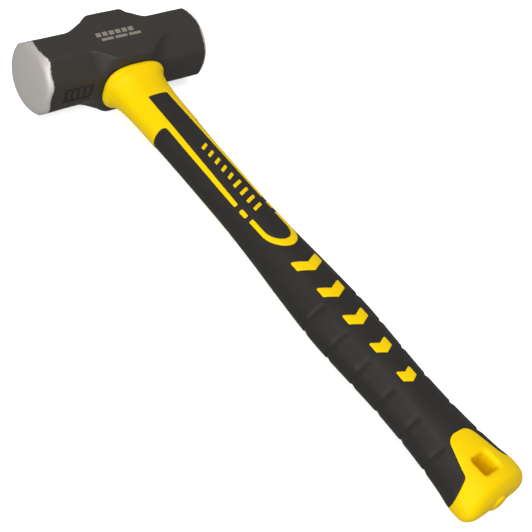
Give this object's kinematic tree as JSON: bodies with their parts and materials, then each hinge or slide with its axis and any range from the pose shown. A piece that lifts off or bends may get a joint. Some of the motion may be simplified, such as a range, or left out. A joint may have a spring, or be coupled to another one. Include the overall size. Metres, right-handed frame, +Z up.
{
  "type": "sledgehammer",
  "caption": "Short-handled sledgehammer: octagonal two-face steel head on a fibreglass-cored handle with a plastic jacket, rubber overmould and hanging hole.",
  "frame": {"origin": "on the supporting surface, at the middle of the bounding box's base", "axes": "+X along the head from one striking face to the other, +Y along the handle from the butt to the top of the head, +Z up out of the upper cheek; the hammer lies on its lower cheek"},
  "size_m": [0.1278, 0.4014, 0.045],
  "materials": {
    "head_steel": "satin black paint over forged steel, with ground bare striking faces",
    "fibreglass": "pultruded glass fibre rod",
    "resin": "poured epoxy",
    "yellow_plastic": "semi-gloss moulded polypropylene",
    "black_rubber": "satin moulded thermoplastic rubber"
  },
  "bodies": {
    "root": {"hammer_head": "head_steel", "core_rod": "fibreglass", "eye_resin": "resin", "handle_jacket": "yellow_plastic", "grip_overmould": "black_rubber"}
  },
  "joints": []
}
